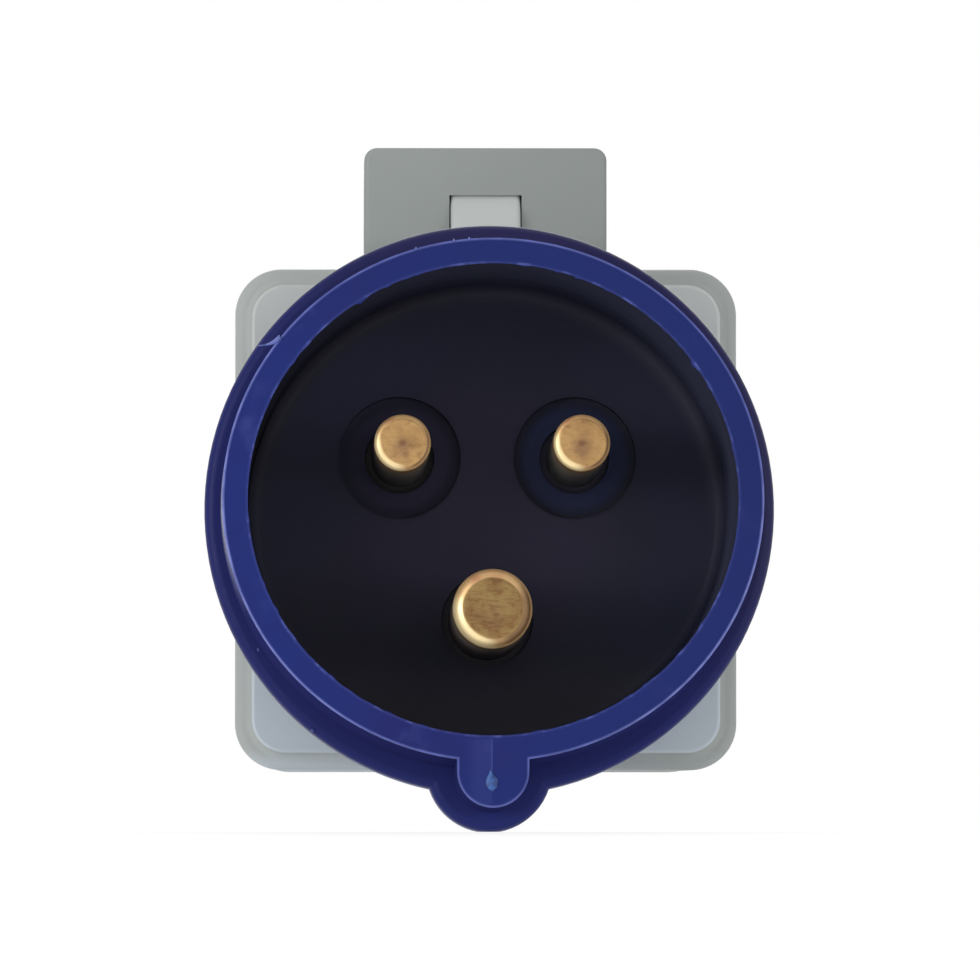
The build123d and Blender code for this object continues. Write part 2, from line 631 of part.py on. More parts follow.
def lid():
    """Lid with a hollow back, seal seat, lever and two hinge barrels."""
    cap = prism(rounded_square(LID_SIDE, HOUSING_CORNER_R), LID_FRONT, LID_REAR)
    cap = fillet(edges_at(cap, LID_REAR), LID_EDGE)
    room = rounded_square(2 * LID_ROOM_HALF, HOUSING_CORNER_R - LID_SKIRT)
    floor = LID_REAR - LID_WALL
    cap -= prism(room, LID_FRONT, floor)
    seat_inner = LID_ROOM_HALF - LID_SEAL_FIT - LID_SEAL_WIDTH
    cap += ring(seat_inner, LID_ROOM_HALF + LID_SEAL_FIT, seal_back(), floor)
    dish_low = LID_REAR - LID_DISH_DEPTH
    cap -= disc(LID_DISH_R, dish_low, LID_REAR)
    cap += hinge_block()
    return cap


def seal_back():
    """Depth of the seat that the lid's seal lies on."""
    return LIP_END + LID_SEAL_GAP + LID_SEAL_THICKNESS


def hinge_block():
    """Lever and barrels, with a neck to the lid, a hood over the lug and a slot for it."""
    low_z = LID_SIDE / 2 - LID_SKIRT / 2
    front = HINGE_Y - BARREL_R
    top = HINGE_Z + LEVER_RISE
    neck_rear = HINGE_Y + BARREL_R + NECK_BEHIND
    diagonal = HOOD_R * cos(radians(45))
    side = Polyline(
        (front, HINGE_Z), (front, top), (front + LEVER_THICKNESS, top),
        (HINGE_Y + diagonal, HINGE_Z + diagonal), (HINGE_Y + HOOD_R, HINGE_Z),
        (neck_rear, HINGE_Z - BARREL_R), (neck_rear, low_z), (LID_FRONT, low_z),
        (LID_FRONT, HINGE_Z - NECK_UNDERCUT), (HINGE_Y, HINGE_Z),
        close=True,
    )
    axis = Pos(HINGE_Y, HINGE_Z)
    quarter = axis * Pos(HOOD_R / 2, HOOD_R / 2) * Rectangle(HOOD_R, HOOD_R)
    outline = make_face(side) + axis * Circle(BARREL_R) + (axis * Circle(HOOD_R) & quarter)
    lever = side_profile(outline, -LEVER_WIDTH / 2, LEVER_WIDTH / 2)
    corners = lever.edges().filter_by(Axis.Y).group_by(Axis.Z)[-1]
    lever = fillet(corners, LEVER_CORNER_R)
    lever = fillet(edges_at(lever, front), LEVER_EDGE)
    half = LUG_WIDTH / 2 + HINGE_SIDE_GAP
    reach = LUG_R + HINGE_ROUND_GAP
    front_gap = axis * Pos(-reach, -reach) * Rectangle(2 * reach, 2 * reach)
    lever -= side_profile(axis * Circle(reach) + front_gap, -half, half)
    lever -= hinge_hole(HINGE_PIN_D / 2 + HINGE_PIN_FIT)
    return at_hinge(lever - spring_leg(coil_path(), LID_LEG, LEG_FIT))


def lid_gasket():
    outer = LID_ROOM_HALF - LID_SEAL_FIT
    back = seal_back()
    return ring(outer - LID_SEAL_WIDTH, outer, back - LID_SEAL_THICKNESS, back)


def hinge_pin():
    pin = Pos(HINGE_Y, HINGE_Z) * Circle(HINGE_PIN_D / 2)
    half = LEVER_WIDTH / 2 - HINGE_PIN_INSET
    return at_hinge(side_profile(pin, -half, half))


def coil_path():
    """The spring's helix about the hinge axis. It starts where the lid's leg leaves it."""
    turns = COIL_TURNS + (HOUSING_LEG_ANGLE - LID_LEG_ANGLE) / 360
    length = COIL_PITCH * turns
    helix = Helix(COIL_PITCH, length, COIL_R, direction=(1, 0, 0))
    return Pos(-length / 2, HINGE_Y, HINGE_Z) * Rot(X=LID_LEG_ANGLE - 90) * helix


def spring_leg(coil, length, room=0.0):
    """The straight leg into the lid, or with some room, the hole that it needs."""
    leg = Pos(0, 0, length / 2) * Cylinder(WIRE_D / 2 + room, length)
    return Plane(origin=coil @ 0, z_dir=-(coil % 0)) * leg


def lid_spring():
    """Torsion spring about the hinge pin: one leg bears on the lug, the other in the lid."""
    coil = coil_path()
    wire = Plane(origin=coil @ 0, z_dir=coil % 0) * Circle(WIRE_D / 2)
    spring = sweep(wire, path=coil, is_frenet=True) + spring_leg(coil, LID_LEG)
    housing_leg = Pos(0, 0, HOUSING_LEG / 2) * Cylinder(WIRE_D / 2, HOUSING_LEG)
    return at_hinge(spring + Plane(origin=coil @ 1, z_dir=coil % 1) * housing_leg)


PIECES = {
    "plug_shroud": plug_shroud,
    "pin_carrier": pin_carrier,
    "line_pin": lambda: contact_pin(PIN_D, PIN_SETBACK, PIN_TIP_FLAT, THIN_ROOT, LINE_AT),
    "neutral_pin": lambda: contact_pin(PIN_D, PIN_SETBACK, PIN_TIP_FLAT, THIN_ROOT, NEUTRAL_AT),
    "earth_pin": lambda: contact_pin(EARTH_PIN_D, EARTH_PIN_SETBACK, EARTH_TIP_FLAT, EARTH_ROOT, EARTH_AT),
    "pin_nuts": pin_nuts,
    "line_link": lambda: side_link(LINE_AT, SLEEVE_LINE_AT),
    "neutral_link": lambda: side_link(NEUTRAL_AT, SLEEVE_NEUTRAL_AT),
    "earth_link": earth_link,
    "plug_gasket": plug_gasket,
    "plug_screws": plug_screws,
    "housing_shell": housing_shell,
    "rear_gasket": rear_gasket,
    "socket_body": socket_body,
    "face_screws": face_screws,
    "sleeve_line": lambda: contact_sleeve(SLEEVE_LINE_AT),
    "sleeve_neutral": lambda: contact_sleeve(SLEEVE_NEUTRAL_AT),
    "sleeve_springs": sleeve_springs,
    "contact_cover": contact_cover,
    "cover_screw": cover_screw,
    "earth_bracket": earth_bracket,
    "lid": lid,
    "lid_gasket": lid_gasket,
    "hinge_pin": hinge_pin,
    "lid_spring": lid_spring,
}

os.makedirs("parts", exist_ok=True)
for name, make in PIECES.items():
    piece = make()
    export_step(piece, f"parts/{name}.step")
    box = piece.bounding_box()
    print(f"{name}: {piece.volume:.1f} mm3, {box.size.X:.2f} x {box.size.Y:.2f} x {box.size.Z:.2f}")
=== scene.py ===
"""Looks of an adapter from an industrial plug to an earthed domestic socket with a spring lid."""
import logging
import random
from dataclasses import dataclass
from enum import Enum
from math import cos, hypot, pi, radians, sin, tan

import bpy
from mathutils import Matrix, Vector


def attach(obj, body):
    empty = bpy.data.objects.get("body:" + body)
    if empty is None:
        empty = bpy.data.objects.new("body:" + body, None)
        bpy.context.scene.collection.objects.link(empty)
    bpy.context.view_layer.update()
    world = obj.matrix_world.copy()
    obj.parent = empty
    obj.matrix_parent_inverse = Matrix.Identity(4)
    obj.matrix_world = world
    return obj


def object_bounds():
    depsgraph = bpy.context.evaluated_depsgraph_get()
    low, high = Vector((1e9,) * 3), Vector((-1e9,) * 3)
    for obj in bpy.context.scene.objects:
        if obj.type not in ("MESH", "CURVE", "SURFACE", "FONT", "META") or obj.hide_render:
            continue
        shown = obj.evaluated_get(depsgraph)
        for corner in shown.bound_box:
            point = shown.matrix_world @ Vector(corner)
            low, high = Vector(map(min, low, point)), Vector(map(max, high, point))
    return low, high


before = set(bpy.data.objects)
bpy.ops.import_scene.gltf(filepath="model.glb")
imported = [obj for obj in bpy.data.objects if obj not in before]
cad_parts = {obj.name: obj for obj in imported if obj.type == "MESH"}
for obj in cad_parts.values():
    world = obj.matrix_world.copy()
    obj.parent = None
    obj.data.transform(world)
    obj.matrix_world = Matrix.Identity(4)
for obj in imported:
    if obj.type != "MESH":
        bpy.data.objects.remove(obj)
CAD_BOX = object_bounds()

log = logging.getLogger("adapter")
MM = 0.001
Colour = tuple[float, float, float]
Feed = "float | tuple | Value | bpy.types.NodeSocket"

# Places on the CAD part, in millimetres
MOUTH_A, MOUTH_B = 23.7, 22.9
BORE_A, BORE_B = 21.5, 20.7
CARRIER_FACE = 36.0
COLLAR_FACE = 22.5
THIN_PIN_X, THIN_PIN_Z = 7.88, 5.216
THIN_PIN = {"radius": 2.5, "tip": 6.0, "crown": 0.55, "root": 39.1}
EARTH_PIN_Z = -9.45
EARTH_PIN = {"radius": 3.5, "tip": 3.0, "crown": 1.05, "root": 37.5}


# Shader maths

class Value:
    """A number from a shader node, with Python's operators for the maths on it."""

    def __init__(self, graph: "Graph", socket: bpy.types.NodeSocket) -> None:
        """Wraps a node's output.

        Args:
            graph: The material's graph.
            socket: The output that gives the number.
        """
        self.graph = graph
        self.socket = socket

    def _math(self, operation: str, *others: Feed, clamp: bool = False) -> "Value":
        """One Math node on this value and up to two more.

        Args:
            operation: The node's operation.
            others: The other operands.
            clamp: Whether the result stays between 0 and 1.

        Returns:
            The result.
        """
        inputs = {number: feed for number, feed in enumerate((self, *others))}
        node = self.graph.node("ShaderNodeMath", {"operation": operation, "use_clamp": clamp}, inputs)
        return Value(self.graph, node.outputs[0])

    def _reflected(self, operation: str, other: Feed) -> "Value":
        """One Math node with the other operand first.

        Args:
            operation: The node's operation.
            other: The first operand.

        Returns:
            The result.
        """
        node = self.graph.node("ShaderNodeMath", {"operation": operation}, {0: other, 1: self})
        return Value(self.graph, node.outputs[0])

    def __add__(self, other: Feed) -> "Value":
        """This plus the other."""
        return self._math("ADD", other)

    def __radd__(self, other: Feed) -> "Value":
        """The other plus this."""
        return self._reflected("ADD", other)

    def __sub__(self, other: Feed) -> "Value":
        """This less the other."""
        return self._math("SUBTRACT", other)

    def __rsub__(self, other: Feed) -> "Value":
        """The other less this."""
        return self._reflected("SUBTRACT", other)

    def __mul__(self, other: Feed) -> "Value":
        """This times the other."""
        return self._math("MULTIPLY", other)

    def __rmul__(self, other: Feed) -> "Value":
        """The other times this."""
        return self._reflected("MULTIPLY", other)

    def __truediv__(self, other: Feed) -> "Value":
        """This over the other."""
        return self._math("DIVIDE", other)

    def __pow__(self, other: Feed) -> "Value":
        """This to the power of the other."""
        return self._math("POWER", other)

    def __abs__(self) -> "Value":
        """The size of this, without its sign."""
        return self._math("ABSOLUTE")

    def root(self) -> "Value":
        """The square root of this."""
        return self._math("SQRT")

    def least(self, other: Feed) -> "Value":
        """The smaller of this and the other."""
        return self._math("MINIMUM", other)

    def most(self, other: Feed) -> "Value":
        """The larger of this and the other."""
        return self._math("MAXIMUM", other)

    def held(self) -> "Value":
        """This, kept between 0 and 1."""
        return self._math("ADD", 0.0, clamp=True)

    def rise(self, low: float, high: float) -> "Value":
        """A smooth step up.

        Args:
            low: Where the step starts, at 0.
            high: Where the step ends, at 1.

        Returns:
            The step.
        """
        node = self.graph.node("ShaderNodeMapRange", {"interpolation_type": "SMOOTHSTEP"},
                               {"Value": self, "From Min": low, "From Max": high})
        return Value(self.graph, node.outputs[0])

    def band(self, middle: float, half: float) -> "Value":
        """A soft band.

        Args:
            middle: Where the band is 1.
            half: How far it reaches on each side.

        Returns:
            The band, 1 in the middle and 0 outside.
        """
        return 1 - abs(self - middle).rise(0.0, half)


def length(first: Value, second: Value) -> Value:
    """How long a line is.

    Args:
        first: Its run along one axis.
        second: Its run along the other.

    Returns:
        The length.
    """
    return (first ** 2 + second ** 2).root()


class Graph:
    """The node tree of one material, with a Principled shader at its end."""

    def __init__(self, name: str, **constants: float | Colour) -> None:
        """Makes the material.

        Args:
            name: The material's name.
            constants: Values of the shader's own sockets, with _ for each space in a name.
        """
        self.material = bpy.data.materials.new(name)
        self.material.use_nodes = True
        self.tree = self.material.node_tree
        self.tree.nodes.clear()
        self.shader = self.node("ShaderNodeBsdfPrincipled", {}, {})
        self.output = self.node("ShaderNodeOutputMaterial", {}, {"Surface": self.shader.outputs[0]})
        for socket, value in constants.items():
            self.feed(self.shader.inputs[socket.replace("_", " ")], value)
        self.place = self.node("ShaderNodeTexCoord", {}, {}).outputs["Object"]
        split = self.node("ShaderNodeSeparateXYZ", {}, {0: self.place})
        self.x, self.y, self.z = (Value(self, out) / MM for out in split.outputs)

    def feed(self, socket: bpy.types.NodeSocket, value: Feed) -> None:
        """Links a value to a socket, or sets the socket to it.

        Args:
            socket: The input.
            value: A wrapped value, an output, a number or a colour.
        """
        if isinstance(value, Value):
            value = value.socket
        if isinstance(value, bpy.types.NodeSocket):
            self.tree.links.new(value, socket)
        elif isinstance(value, tuple) and socket.type == "RGBA":
            socket.default_value = (*value, 1.0)[:4]
        else:
            socket.default_value = value

    def node(self, kind: str, settings: dict[str, object],
             inputs: dict[int | str, Feed]) -> bpy.types.Node:
        """Adds any node.

        Args:
            kind: The node's type.
            settings: The node's own settings, set first.
            inputs: Its sockets by name or number, and what they get.

        Returns:
            The node.
        """
        made = self.tree.nodes.new(kind)
        for name, value in settings.items():
            setattr(made, name, value)
        for name, value in inputs.items():
            self.feed(made.inputs[name], value)
        return made

    def noise(self, scale: float, detail: float = 2.0, place: Feed = None, **inputs: Feed) -> Value:
        """Noise from 0 to 1.

        Args:
            scale: Features to a metre.
            detail: Octaves.
            place: The coordinates, or None for the object's own.
            inputs: Other sockets of the node.

        Returns:
            The noise.
        """
        feeds = {"Vector": place or self.place, "Scale": scale, "Detail": detail, **inputs}
        return Value(self, self.node("ShaderNodeTexNoise", {}, feeds).outputs[0])

    def along(self, value: Value, detail: float = 2.0) -> Value:
        """Noise that runs along one value only.

        Args:
            value: The value, with about one feature to each unit.
            detail: Octaves.

        Returns:
            The noise.
        """
        node = self.node("ShaderNodeTexNoise", {"noise_dimensions": "1D"},
                         {"W": value, "Scale": 1.0, "Detail": detail})
        return Value(self, node.outputs[0])

    def stretched(self, scale: tuple[float, float, float],
                  turn: tuple[float, float, float] = (0, 0, 0)) -> Feed:
        """The object's coordinates, turned and stretched.

        Args:
            scale: Features to a metre along each axis.
            turn: Angles about each axis, in radians.

        Returns:
            The coordinates.
        """
        first = self.node("ShaderNodeMapping", {}, {"Vector": self.place, "Rotation": turn})
        return self.node("ShaderNodeMapping", {}, {"Vector": first.outputs[0], "Scale": scale}).outputs[0]

    def mix(self, share: Feed, first: Feed, second: Feed) -> bpy.types.NodeSocket:
        """One colour changing into another.

        Args:
            share: 0 for the first colour, 1 for the second.
            first: A colour.
            second: A colour.

        Returns:
            The mixed colour.
        """
        node = self.node("ShaderNodeMix", {"data_type": "RGBA"}, {0: share, 6: first, 7: second})
        return node.outputs[2]

    def bump(self, height: Value, depth_mm: float, below: Feed = None) -> bpy.types.NodeSocket:
        """Surface relief.

        Args:
            height: The height from 0 to 1.
            depth_mm: The depth of the relief, in millimetres.
            below: The relief under this one.

        Returns:
            The bent normal.
        """
        feeds = {"Height": height, "Distance": depth_mm * MM}
        if below is not None:
            feeds["Normal"] = below
        return self.node("ShaderNodeBump", {}, feeds).outputs[0]

    def matt_where(self, share: Value, colour: Feed) -> None:
        """Fades the surface into the same colour without gloss.

        Args:
            share: 0 for the glossy surface, 1 for the matt one.
            colour: The colour of both.
        """
        matt = self.node("ShaderNodeBsdfPrincipled", {},
                         {"Base Color": colour, "Roughness": 1.0, "Specular IOR Level": 0.0})
        self.fade_into(share, matt)

    def fade_into(self, share: Value, other: bpy.types.Node) -> None:
        """Mixes the material's own shader with another.

        Args:
            share: 0 for the material's own shader, 1 for the other.
            other: The other shader.
        """
        both = self.node("ShaderNodeMixShader", {},
                         {0: share, 1: self.shader.outputs[0], 2: other.outputs[0]})
        self.tree.links.new(both.outputs[0], self.output.inputs["Surface"])

    def done(self, **feeds: Feed) -> bpy.types.Material:
        """Links what varies to the shader.

        Args:
            feeds: The shader's sockets, with _ for each space in a name.

        Returns:
            The material.
        """
        for socket, value in feeds.items():
            self.feed(self.shader.inputs[socket.replace("_", " ")], value)
        return self.material


# Finishes

@dataclass(frozen=True)
class ShroudPlastic:
    """Glossy blue moulding: pale rim edge from wear and a painted highlight, weld line on the nose, painted
    shade on its top and right, and painted shade inside the mouth with painted light on the far wall.
    """

    blue: Colour = (0.0100, 0.0205, 0.1460)
    violet: Colour = (0.0130, 0.0145, 0.1080)
    collar: Colour = (0.0135, 0.0180, 0.1180)
    # Painted shade on the collar's top and right
    collar_shade: Colour = (0.0200, 0.0190, 0.0760)
    # Rim wear and the weld line, also used for a painted highlight line and a painted shading step on the
    # nose
    wear_and_sheen: Colour = (0.1200, 0.1500, 0.4600)
    # Painted highlight on the lit side of the rim's outer edge
    edge_highlight: Colour = (0.3600, 0.4000, 0.8200)
    # Painted shade inside the mouth, and painted light on its far wall
    inside: Colour = (0.0150, 0.0150, 0.0210)
    inside_lit: Colour = (0.0800, 0.0900, 0.1600)
    # Painted shade on the rim's top and right
    shaded_blue: Colour = (0.0092, 0.0180, 0.1120)
    below: Colour = (0.0240, 0.0270, 0.1200)
    nose_blue: Colour = (0.0165, 0.0230, 0.1400)
    nose_r: float = 3.15
    nose_drop: float = 23.8
    tube_end: float = 22.4
    back_wall: float = 40.0

    def material(self) -> bpy.types.Material:
        """Builds the material."""
        g = Graph("blue_shroud_plastic", IOR=1.48, Specular_IOR_Level=0.14)
        mean = (MOUTH_A + MOUTH_B) / 2
        below_nose = (g.z + self.nose_drop).least(0.0)
        nose = length(g.x, below_nose) - self.nose_r + g.z.rise(-19.0, -17.0) * 10
        outside = ((length(g.x / MOUTH_A, g.z / MOUTH_B) - 1) * mean).least(nose)
        inside = (length(g.x / BORE_A, g.z / BORE_B) - 1) * ((BORE_A + BORE_B) / 2)
        at_mouth = 1 - g.y.rise(0.15, 0.6)

        patches = g.noise(75.0, 3.0)
        fine = g.noise(900.0, 3.0)
        colour = g.mix(patches.rise(0.42, 0.72) * 0.7, self.blue, self.violet)
        colour = g.mix(g.noise(240.0, 5.0).rise(0.40, 0.70) * 0.30, colour, self.collar)
        colour = g.mix(g.noise(260.0, 4.0).rise(0.58, 0.8) * 0.14, colour, self.wear_and_sheen)

        # Painted shade: the rim's top and right side turn a dimmer blue
        shaded_side = ((g.x * 0.65 + g.z * 0.75) / mean).rise(-0.2, 0.8)
        colour = g.mix((g.x.rise(-8.0, 18.0) * 0.65).most(shaded_side * 0.7), colour, self.shaded_blue)

        wear = g.noise(520.0, 4.0).rise(0.32, 0.66)
        # The rim's outer edge: real wear, and a painted highlight line, brightest on its lit left and bottom
        edge = outside.rise(-0.27, -0.05) * at_mouth
        lit_side = ((g.x * -1.0 - g.z * 0.15) / mean).rise(0.45, 1.0)
        lit_side = lit_side.most(((g.x * 0.87 - g.z * 0.50) / mean).rise(0.70, 1.0))
        colour = g.mix((edge * (wear * 0.35 + 0.62)).held(), colour, self.wear_and_sheen)
        colour = g.mix((edge * lit_side * (wear * 0.22 + 0.14)).held(), colour, self.edge_highlight)
        nicks = g.noise(700.0, 3.0).rise(0.50, 0.68)
        inner_edge = abs(inside - 0.03).rise(0.05, 0.17)
        inner_wear = (1 - inner_edge) * at_mouth * (nicks * 0.38 + 0.10)
        colour = g.mix(inner_wear.held(), colour, self.wear_and_sheen)

        on_nose = at_mouth * (1 - g.z.rise(-21.2, -20.7)) * (1 - abs(g.x).rise(1.2, 2.6))
        # Painted shading step: the nose is a touch lighter left of the weld line
        left = 1 - g.x.rise(-0.16, -0.04)
        colour = g.mix((on_nose * (left * 0.07)).held(), colour, self.wear_and_sheen)
        weld = g.x.band(-0.12, 0.11) * g.z.rise(-25.9, -25.0) * on_nose
        colour = g.mix((weld * 0.22).held(), colour, self.wear_and_sheen)

        # Behind the rim: the collar's own blue, with painted shade to the top and right
        rear = g.mix(shaded_side, self.collar, self.collar_shade)
        rear = g.mix(1 - g.z.rise(-25.0, -20.0), rear, self.nose_blue)
        colour = g.mix(g.y.rise(14.0, 22.0), colour, rear)
        # Painted shade inside the mouth, deepening inwards, with painted light on the far wall and next to
        # the floor
        depth = (1 - inside.rise(0.04, 0.14)) * g.y.rise(0.15, 1.6)
        depth = depth * (1 - g.y.rise(self.back_wall - 0.5, self.back_wall))
        lit_far_wall = ((g.x * 0.75 + g.z * 0.65) / mean).rise(-0.6, 0.7)
        lit_far_wall = lit_far_wall * (g.y.rise(0.0, 26.0) * 0.55 + 0.30)
        lit_near_floor = g.y.rise(CARRIER_FACE - 3.0, CARRIER_FACE)
        bore = g.mix((lit_far_wall + lit_near_floor * 0.4).held(), self.inside, self.inside_lit)
        colour = g.mix(depth, colour, bore)

        lines = g.noise(1.0, 3.0, g.stretched((140.0, 140.0, 2600.0), (0.5, 0.0, 0.3)))
        normal = g.bump(lines, 0.006, g.bump(fine, 0.010))
        tube = g.y.rise(0.3, 0.8) * (1 - g.y.rise(self.tube_end - 0.6, self.tube_end))
        rough = 0.34 + fine * 0.10 + patches * 0.06 - edge * 0.10 + depth * 0.25 - tube * 0.20
        outer_side = outside.rise(-1.4, -0.9)
        under = tube * (1 - (g.z * 0.90 - abs(g.x + 4.0) * 0.25).rise(-14.0, -5.0)) * outer_side
        above = tube * g.z.rise(-2.0, 8.0) * g.y.rise(2.0, 7.0) * outer_side
        colour = g.mix(under * 0.8, colour, self.below)
        g.matt_where(under.most(depth * 0.6).most(above * 0.6), colour)
        return g.done(Base_Color=colour, Roughness=rough.held(), Normal=normal)


@dataclass(frozen=True)
class CarrierPlastic:
    """Near-black insulating plastic, with painted light towards the middle, top, bottom and right and by the
    wall, and painted shadow rings about the thin pins and their roots.
    """

    dark: Colour = (0.0280, 0.0255, 0.0460)
    blue: Colour = (0.0250, 0.0290, 0.0640)
    # Painted light: in the middle, at the top and bottom, and in the right recess
    lit: Colour = (0.0440, 0.0390, 0.0780)
    lit_upper: Colour = (0.0430, 0.0440, 0.0960)
    lit_lower: Colour = (0.0540, 0.0490, 0.0600)
    lit_blue_floor: Colour = (0.0260, 0.0340, 0.0980)
    dim_floor: Colour = (0.0310, 0.0290, 0.0640)
    # Painted light by the wall
    border: Colour = (0.0380, 0.0370, 0.0480)
    border_lit: Colour = (0.0700, 0.0700, 0.1100)
    shadow: Colour = (0.0050, 0.0050, 0.0110)
    recess_r: float = 5.5
    border_r: float = 21.0

    def material(self) -> bpy.types.Material:
        """Builds the material."""
        g = Graph("dark_carrier_plastic", IOR=1.46, Specular_IOR_Level=0.35)
        patches = g.noise(70.0, 2.0)
        fine = g.noise(1300.0, 3.0)
        # Random bluish patches, and a bluish tint towards the right as painted light
        bluish = patches.rise(0.35, 0.7) * 0.6 + g.x.rise(-6.0, 14.0) * 0.4
        colour = g.mix(bluish.held(), self.dark, self.blue)
        # Painted light: the top and bottom of the floor are lighter
        colour = g.mix(g.z.rise(3.0, 16.0) * 0.7, colour, self.lit_upper)
        colour = g.mix((1 - g.z.rise(-19.0, -11.0)) * 0.6, colour, self.lit_lower)
        ring = length(abs(g.x) - THIN_PIN_X, g.z - THIN_PIN_Z)
        # Painted light in the middle of the floor
        middle = 1 - length(g.x, g.z + 1.0).rise(4.0, 17.0)
        colour = g.mix(middle * 0.8, colour, self.lit)
        # Painted light in the recesses about the thin pins: lit blue on the right, dim on the left
        floor = 1 - ring.rise(self.recess_r - 0.7, self.recess_r - 0.3)
        to_right = g.x.rise(-4.0, 4.0)
        colour = g.mix(floor * to_right, colour, self.lit_blue_floor)
        colour = g.mix(floor * (1 - to_right), colour, self.dim_floor)
        # Painted shadow: a soft dark ring in each recess and round the pin roots
        groove = ring.band(self.recess_r - 0.50, 0.95)
        root_shadow = (1 - ring.rise(2.95, 3.25)) * g.y.rise(CARRIER_FACE + 0.2, CARRIER_FACE + 1.0)
        colour = g.mix((groove * 0.38).most(root_shadow * 0.30).held(), colour, self.shadow)
        # Painted light: a lighter band by the wall, brightest at the top and right
        border = length(g.x, g.z * 1.04).rise(self.border_r - 1.6, self.border_r)
        border = border * (g.z.rise(-5.0, 9.0) * 0.7 + 0.1)
        colour = g.mix(border, colour, g.mix(g.x.rise(-16.0, 6.0), self.border, self.border_lit))
        rough = 0.55 + fine * 0.15
        return g.done(Base_Color=colour, Roughness=rough, Normal=g.bump(fine, 0.012))


@dataclass(frozen=True)
class TurnedBrass:
    """Turned brass pin: grooved or scratched face, polished crown with a painted highlight on its lit edge
    and painted shade on its right and bottom, stains, and a drawn shank with painted shade that deepens
    inwards.
    """

    name: str
    middle: tuple[float, float]
    radius: float
    tip: float
    crown: float
    root: float
    stain: float = 0.35
    scratches: float = 0.2
    blot: float = 0.9
    brass: Colour = (0.640, 0.398, 0.172)
    # Painted highlight on the crown's lit side
    pale: Colour = (1.000, 0.800, 0.440)
    warm: Colour = (0.780, 0.500, 0.230)
    pink: Colour = (0.640, 0.290, 0.150)
    bruise: Colour = (0.230, 0.120, 0.090)
    # Stains on the face, and painted shade on the shank
    stain_and_shade_brown: Colour = (0.260, 0.135, 0.060)
    # Painted shade on the crown's right and bottom
    tan: Colour = (0.170, 0.088, 0.038)
    # Painted shade deep in the mouth
    deep_shade: Colour = (0.098, 0.092, 0.078)
    # Painted shade on the root shoulder
    root_shade: Colour = (0.020, 0.019, 0.034)

    def material(self) -> bpy.types.Material:
        """Builds the material."""
        g = Graph(self.name)
        off_x, off_z = g.x - self.middle[0], g.z - self.middle[1]
        across = length(off_x, off_z)
        face = 1 - g.y.rise(self.tip + 0.01, self.tip + 0.06)
        shank = g.y.rise(self.tip + self.crown, self.tip + self.crown + 0.5)
        turning = g.along(across * 4.5, 4.0)
        draw = g.along(g.y * 6.0 + across, 3.0)
        cloud = g.noise(420.0, 4.0)
        speckle = g.noise(1300.0, 4.0)
        slanted = g.stretched((900.0, 900.0, 3000.0), (0.0, radians(-5), 0.0))
        scratch = g.noise(1.0, 5.0, slanted, Distortion=0.9)
        pip = 1 - across.rise(0.10, 0.42)

        dull = cloud.rise(0.38, 0.72) * self.stain + turning.rise(0.5, 0.75) * 0.12
        dull = dull + speckle.rise(0.52, 0.70) * 0.35 + scratch.rise(0.44, 0.74) * self.scratches + pip * 0.5
        colour = g.mix((dull * face).held(), self.brass, self.stain_and_shade_brown)
        stained = 1 - length(off_x + 0.10, off_z + 0.50).rise(0.2, self.radius * 0.55)
        colour = g.mix((stained * face * cloud * self.blot).held(), colour, self.bruise)
        # Painted highlight: the crown is paler on its lit left and bottom, with a painted highlight arc at
        # its edge
        lit_side = ((off_x * -0.79 - off_z * 0.61) / across).rise(0.40, 0.88)
        crowned = (1 - face) * (1 - shank)
        highlight_crescent = length(off_x - self.radius * 0.09, off_z - self.radius * 0.08)
        highlight_crescent = highlight_crescent.rise(self.radius * 0.82, self.radius * 0.89) * lit_side * (1 - shank)
        crown = g.mix(lit_side, self.warm, self.pale)
        crown = g.mix((cloud.rise(0.45, 0.7) * 0.35 * (1 - lit_side)).held(), crown, self.pink)
        # Painted shade on the crown's right and bottom
        right = ((off_x * 0.93 - off_z * 0.37) / across).rise(0.25, 0.85)
        low = ((off_x * 0.10 - off_z * 0.99) / across).rise(0.80, 0.98)
        edge = across.rise(self.radius - 0.22, self.radius - 0.10)
        crown = g.mix(((right * 0.90).most(low * 0.60) * (1 - edge)).held(), crown, self.tan)
        colour = g.mix(crowned.held(), colour, crown)
        colour = g.mix((highlight_crescent * 0.85).held(), colour, self.pale)
        blush = 1 - length(off_x + self.radius * 0.42, off_z - self.radius * 0.72).rise(0.1, 0.85)
        colour = g.mix((blush * crowned * 0.8).held(), colour, self.pink)
        # The shank: drawn marks in a painted shade
        colour = g.mix((shank * (0.45 + draw * 0.4)).held(), colour, self.stain_and_shade_brown)
        # Painted shade: the shank turns near-black deeper in the mouth, with painted light on its underside
        deep = g.y.rise(self.tip + 0.8, self.tip + 10.0)
        lit_low_side = 1 - (off_z / self.radius).rise(-0.9, 0.1)
        lit_deep_shade = tuple(part * 2.2 for part in self.deep_shade)
        colour = g.mix(deep * 0.96, colour, g.mix(lit_low_side, self.deep_shade, lit_deep_shade))
        # Painted shade: the root shoulder is near-black like the shaded floor round it
        root = g.y.rise(self.root - 0.6, self.root - 0.4)
        colour = g.mix(root, colour, self.root_shade)

        height = turning * (0.5 * face) + scratch * (self.scratches * face)
        height = height + draw * (shank * 0.4) - pip * (0.5 * face)
        rough = 0.34 + face * (0.10 + scratch * 0.12) + shank * 0.12 + cloud * 0.10
        rim = across.rise(self.radius - 0.42, self.radius - 0.08) * (1 - shank)
        metal = 1 - root - (crowned * 0.50).most(rim * 0.55).most(highlight_crescent * 0.30) - deep * 0.90
        return g.done(Base_Color=colour, Metallic=metal.held(), Roughness=rough.held(),
                      Normal=g.bump(height, 0.030))


